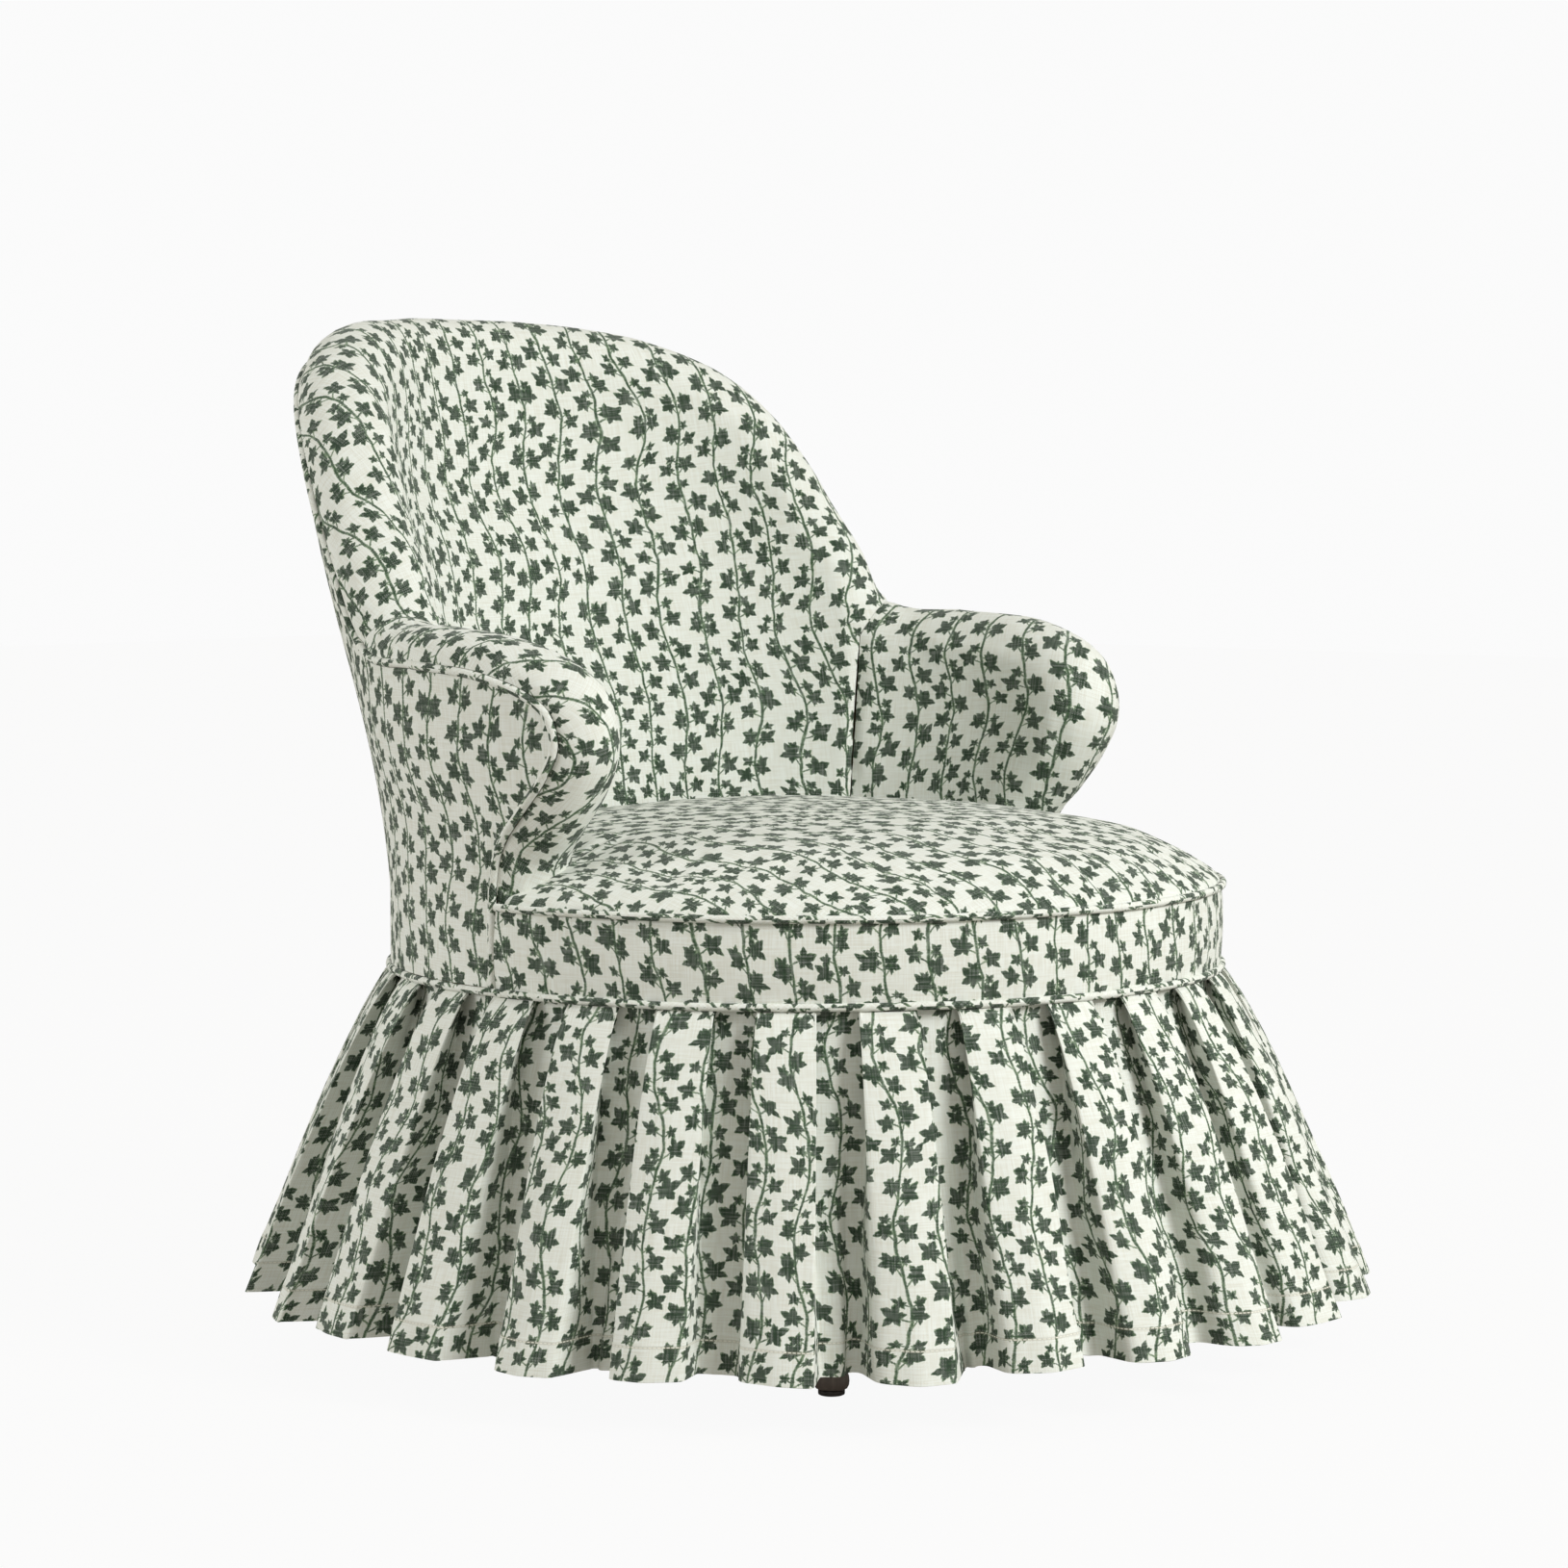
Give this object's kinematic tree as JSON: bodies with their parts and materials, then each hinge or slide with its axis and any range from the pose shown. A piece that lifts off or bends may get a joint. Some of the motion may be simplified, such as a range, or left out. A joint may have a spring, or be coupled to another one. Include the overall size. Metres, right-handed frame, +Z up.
{
  "type": "slipper chair",
  "caption": "Round upholstered slipper chair: one curved shell forms the back and low arms, with a crowned seat, corded edges and a box-pleated skirt that hides turned legs.",
  "frame": {"origin": "on the floor, under the middle of the round seat", "axes": "+Z up, the chair faces -Y, +X towards the sitter's left"},
  "size_m": [0.8796, 0.8796, 0.811],
  "materials": {
    "print_fabric": "matte",
    "foam": "matte",
    "wadding": "matte",
    "hessian": "matte",
    "webbing": "matte",
    "dust_cloth": "matte",
    "frame_wood": "matte",
    "leg_wood": "satin",
    "board": "matte",
    "steel": "satin",
    "glide": "matte"
  },
  "bodies": {
    "root": {"leg_glide_rear_left": "glide", "leg_glide_front_left": "glide", "leg_glide_front_right": "glide", "leg_glide_rear_right": "glide", "leg_rear_left": "leg_wood", "leg_front_left": "leg_wood", "leg_front_right": "leg_wood", "leg_rear_right": "leg_wood", "leg_plate_rear_left": "steel", "leg_plate_front_left": "steel", "leg_plate_front_right": "steel", "leg_plate_rear_right": "steel", "leg_bolt_rear_left": "steel", "leg_bolt_front_left": "steel", "leg_bolt_front_right": "steel", "leg_bolt_rear_right": "steel", "seat_rail_rear_left": "frame_wood", "seat_rail_front_left": "frame_wood", "seat_rail_front_right": "frame_wood", "seat_rail_rear_right": "frame_wood", "dust_cover": "dust_cloth", "webbing_across_1": "webbing", "webbing_across_2": "webbing", "webbing_across_3": "webbing", "webbing_across_4": "webbing", "webbing_along_1": "webbing", "webbing_along_2": "webbing", "webbing_along_3": "webbing", "webbing_along_4": "webbing", "platform_cloth": "hessian", "back_hoop": "frame_wood", "back_post_left": "frame_wood", "back_post_right": "frame_wood", "arm_post_left": "frame_wood", "arm_post_right": "frame_wood", "arm_rail_left": "frame_wood", "arm_rail_right": "frame_wood", "back_hessian": "hessian", "arm_hessian_left": "hessian", "arm_hessian_right": "hessian", "back_foam": "foam", "arm_foam_left": "foam", "arm_foam_right": "foam", "inside_back_cover": "print_fabric", "inside_arm_cover_left": "print_fabric", "inside_arm_cover_right": "print_fabric", "outside_padding": "wadding", "outside_cover": "print_fabric", "edge_welt": "print_fabric", "seat_foam": "foam", "seat_top_cover": "print_fabric", "seat_welt": "print_fabric", "band_padding": "wadding", "seat_band_cover": "print_fabric", "skirt_welt": "print_fabric", "skirt_tack_strip": "board", "skirt": "print_fabric"}
  },
  "joints": []
}
